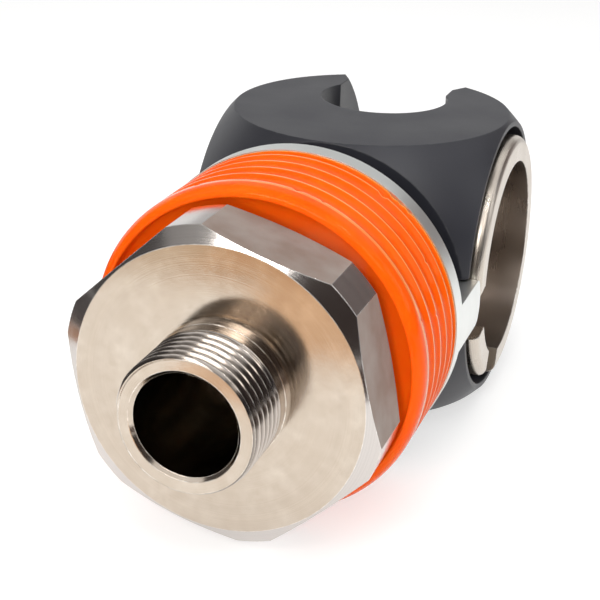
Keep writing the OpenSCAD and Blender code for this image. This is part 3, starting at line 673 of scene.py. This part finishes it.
# The studio. A lamp is (name, place, aim, size, watts, colour, whether metal mirrors it). A card is a panel
# of even light that only gloss sees, given as (name, place, aim, size, colour).
AIM = (0, 0.05, 0)
LAMPS = (
    ("top_softbox", (-0.10, 0.10, 0.75), AIM, (0.70, 0.70), 2.0, (1.0, 0.99, 0.97), False),
    ("front_softbox", (-0.10, -0.60, 0.52), AIM, (0.46, 0.20), 2.0, (1.0, 0.97, 0.93), True),
    ("camera_fill", (0.15, -0.60, 0.22), AIM, (0.30, 0.30), 2.8, (1.0, 0.97, 0.93), False),
    ("right_softbox", (0.80, 0.20, 0.35), AIM, (0.40, 0.40), 0.7, (1.0, 1.0, 1.0), True),
    ("strip", (0.25, -0.20, 0.72), (0.25, 0.05, 0.0), (0.40, 0.010), 1.0, (1.0, 1.0, 1.0), True),
)
FLOOR_AIM = (0, 0, -1)
CARDS = (
    ("front_card", (0.38, -0.66, 0.18), AIM, (0.75, 0.56), (0.055, 0.043, 0.040)),
    ("brown_card", (-0.11, -0.68, 0.31), AIM, (0.40, 0.20), (0.09, 0.064, 0.050)),
    ("zenith_card", (0.0, 0.02, 0.55), AIM, (0.46, 0.40), (0.26, 0.25, 0.24)),
    ("top_left_card", (-0.46, 0.16, 0.54), AIM, (0.50, 0.56), (0.24, 0.23, 0.22)),
    ("right_card", (0.74, -0.30, 0.32), AIM, (0.90, 0.74), (0.05, 0.05, 0.06)),
    ("rim_card", (0.39, -0.23, 0.36), AIM, (0.18, 0.18), (2.9, 2.8, 2.65)),
    ("left_card", (-0.75, -0.22, 0.18), AIM, (0.90, 0.60), (0.10, 0.095, 0.095)),
    ("left_front_card", (-0.44, -0.56, 0.36), AIM, (0.30, 0.40), (0.36, 0.35, 0.345)),
    ("left_floor_card", (-0.42, -0.10, FLOOR_Z + 0.004), FLOOR_AIM, (0.50, 0.70), (0.11, 0.10, 0.10)),
    ("clay_floor_card", (-0.145, -0.05, FLOOR_Z + 0.005), FLOOR_AIM, (0.035, 0.10), (0.50, 0.24, 0.12)),
    ("dark_floor_card", (0.21, -0.24, FLOOR_Z + 0.006), FLOOR_AIM, (0.26, 0.34), (0.10, 0.065, 0.055)),
    ("clay_front_card", (0.0, -0.215, FLOOR_Z + 0.007), FLOOR_AIM, (0.12, 0.19), (0.92, 0.54, 0.29)),
    ("clay_near_card", (0.008, -0.0975, FLOOR_Z + 0.007), FLOOR_AIM, (0.085, 0.045), (1.12, 0.79, 0.54)),
    ("warm_floor_card", (0.0, -0.32, FLOOR_Z + 0.003), FLOOR_AIM, (0.36, 0.40), (0.92, 0.76, 0.58)),
    ("back_card", (-0.25, 0.95, 0.55), AIM, (1.4, 0.70), (0.56, 0.56, 0.56)),
    ("back_right_card", (0.55, 0.80, 0.20), AIM, (0.70, 0.50), (0.20, 0.17, 0.165)),
    ("right_back_card", (0.85, 0.40, 0.22), AIM, (0.80, 0.80), (0.10, 0.10, 0.12)),
)
SKY_ON_OBJECT = 0.38
FLOOR_GLOW = 0.55
FLOOR_HALF = 6.0


def facing(place, aim):
    """The rotation that looks from one point to another along -Z; what aims at the floor lies flat."""
    if aim is FLOOR_AIM:
        return Quaternion()
    return (Vector(aim) - Vector(place)).to_track_quat("-Z", "Y")


def seen_directly(tree):
    """1 for rays from the camera, from gloss and through glass; 0 for rays that light the object."""
    path = add(tree, "ShaderNodeLightPath").outputs
    either = math_node(tree, "MAXIMUM", path["Is Camera Ray"], path["Is Glossy Ray"])
    return math_node(tree, "MAXIMUM", either, path["Is Transmission Ray"])


def make_world():
    """A white surround to look at, and a plain even sky to light with."""
    world = bpy.data.worlds.new("studio")
    world.use_nodes = True
    tree = world.node_tree
    tree.nodes.clear()
    strength = mapped(tree, seen_directly(tree), 0.0, 1.0, SKY_ON_OBJECT, 1.0)
    sky = add(tree, "ShaderNodeBackground", {"Color": (1, 1, 1, 1), "Strength": strength})
    add(tree, "ShaderNodeOutputWorld", {"Surface": sky.outputs[0]})
    bpy.context.scene.world = world


def rectangle(half_width, half_height, z):
    """The corners of a flat rectangle about the Z axis."""
    return [(-half_width, -half_height, z), (half_width, -half_height, z),
            (half_width, half_height, z), (-half_width, half_height, z)]


def make_floor():
    """A plain pale floor under the object, which keeps the shadow."""
    material, tree = new_tree("pale_floor")
    grain = effect(tree, "grain", {"Size": 0.002, "Clouds": 0.2})
    colour = mixed(tree, grain["Clouds"], (0.62, 0.62, 0.62), (0.64, 0.64, 0.64))
    glow = math_node(tree, "MULTIPLY", seen_directly(tree), FLOOR_GLOW)
    shader = add(tree, "ShaderNodeBsdfPrincipled", {"Base Color": colour, "Roughness": 0.9,
                                                   "Emission Color": (1, 1, 1, 1), "Emission Strength": glow})
    shader.inputs["Specular IOR Level"].default_value = 0.0
    add(tree, "ShaderNodeOutputMaterial", {"Surface": shader.outputs[0]})
    mesh = bpy.data.meshes.new("floor")
    corners = rectangle(FLOOR_HALF, FLOOR_HALF, FLOOR_Z)
    mesh.from_pydata(corners, [], [(0, 1, 2, 3)])
    mesh.materials.append(material)
    floor = bpy.data.objects.new("floor", mesh)
    bpy.context.scene.collection.objects.link(floor)


def make_card(name, place, aim, size, colour):
    """A panel of even light beside the object that only gloss sees, mostly darker than the surround."""
    material, tree = new_tree(name)
    glow = add(tree, "ShaderNodeEmission", {"Color": (*colour, 1), "Strength": 1.0})
    add(tree, "ShaderNodeOutputMaterial", {"Surface": glow.outputs[0]})
    mesh = bpy.data.meshes.new(name)
    corners = rectangle(size[0] / 2, size[1] / 2, 0)
    mesh.from_pydata(corners, [], [(0, 1, 2, 3)])
    mesh.materials.append(material)
    card = bpy.data.objects.new(name, mesh)
    card.location = place
    card.rotation_mode = "QUATERNION"
    card.rotation_quaternion = facing(place, aim)
    card.visible_camera = False
    card.visible_diffuse = False
    card.visible_shadow = False
    bpy.context.scene.collection.objects.link(card)


def make_lamp(name, place, aim, size, watts, colour, mirrored):
    """A softbox of a width and height, which the metal may mirror or not."""
    lamp = bpy.data.lights.new(name, "AREA")
    lamp.shape = "RECTANGLE"
    lamp.size, lamp.size_y = size
    lamp.energy = watts
    lamp.color = colour
    light = bpy.data.objects.new(name, lamp)
    light.location = place
    light.rotation_mode = "QUATERNION"
    light.rotation_quaternion = facing(place, aim)
    light.visible_glossy = mirrored
    bpy.context.scene.collection.objects.link(light)


def make_camera():
    """The camera at the photograph's place and angle."""
    lens = bpy.data.cameras.new("camera")
    lens.sensor_fit = "HORIZONTAL"
    lens.sensor_width = SENSOR_WIDTH
    lens.lens = CAMERA_LENS
    lens.clip_start = 0.01
    lens.clip_end = 50
    camera = bpy.data.objects.new("camera", lens)
    azimuth = math.radians(CAMERA_AZIMUTH)
    elevation = math.radians(CAMERA_ELEVATION)
    level = math.cos(elevation)
    ahead = Vector((-math.sin(azimuth) * level, math.cos(azimuth) * level, -math.sin(elevation)))
    camera.location = CAMERA_PLACE
    camera.rotation_mode = "QUATERNION"
    roll = Quaternion((0, 0, 1), math.radians(CAMERA_ROLL))
    camera.rotation_quaternion = ahead.to_track_quat("-Z", "Y") @ roll
    bpy.context.scene.collection.objects.link(camera)
    bpy.context.scene.camera = camera


bpy.context.scene.view_settings.view_transform = "Standard"
make_camera()
make_world()
make_floor()
for lamp in LAMPS:
    make_lamp(*lamp)
for card in CARDS:
    make_card(*card)
dress_frame()
make_adapter()
make_grip_ring()
make_spring()
